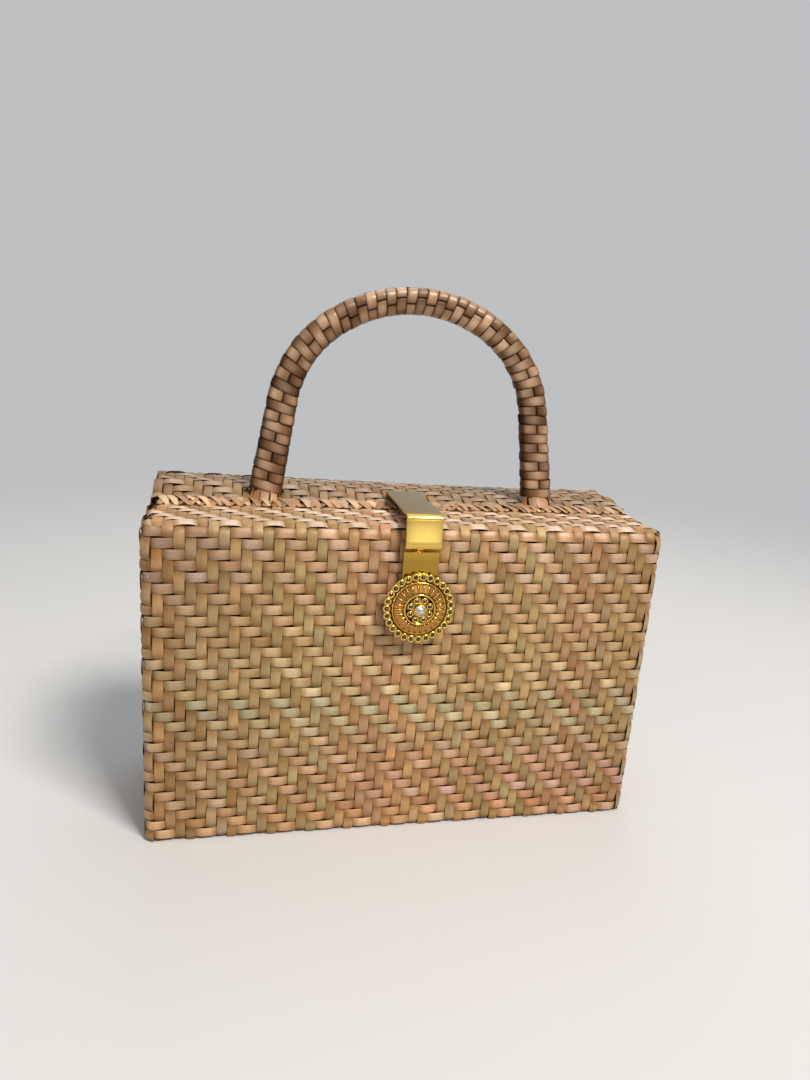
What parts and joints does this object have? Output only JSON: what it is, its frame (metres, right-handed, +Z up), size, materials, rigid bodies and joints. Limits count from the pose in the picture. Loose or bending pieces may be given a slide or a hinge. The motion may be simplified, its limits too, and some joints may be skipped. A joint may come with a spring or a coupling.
{
  "type": "basket box bag",
  "caption": "Upright box handbag of twill-woven straw with a hinged half lid, an arched straw-wrapped handle and a metal strap clasp with a jewelled medallion.",
  "frame": {"origin": "centre of the flat underside", "axes": "+Z up, the front with the medallion faces -Y, +X to the right seen from the front"},
  "size_m": [0.265, 0.0999, 0.2813],
  "materials": {
    "straw": "dry plaited straw, half matt",
    "straw_edge": "folded straw ends, matt",
    "handle_straw": "plaited straw, darker from use",
    "cane": "bare cane",
    "card": "grey board",
    "lining": "plain cotton",
    "gold": "polished gold tone",
    "steel": "plated",
    "stone_smoke": "cut glass",
    "stone_champagne": "cut glass",
    "stone_clear": "cut glass"
  },
  "bodies": {
    "body": {"base_mat": "straw", "woven_body": "straw", "inner_box": "card", "body_lining": "lining", "hinge_loops": "straw_edge", "catch_plate": "steel"},
    "lid": {"lid_mat": "straw", "lid_board": "card", "lid_lining": "lining", "lid_braid": "straw_edge", "hinge_sleeves": "straw_edge", "hinge_rod": "cane", "handle_core": "cane", "handle_wrap": "handle_straw", "foot_strips": "straw_edge", "strap": "gold", "strap_rivets": "gold", "clasp_magnet": "steel", "medallion": "gold", "rim_stones": "stone_smoke", "baguette_stones": "stone_champagne", "ring_stones": "stone_clear", "centre_stone": "stone_clear"}
  },
  "joints": [
    {"name": "lid_hinge", "type": "hinge", "parent": "body", "child": "lid", "pos_m": [0, 0.0419, 0.1695], "axis": [-1, 0, 0], "range_deg": [0, 105]}
  ]
}
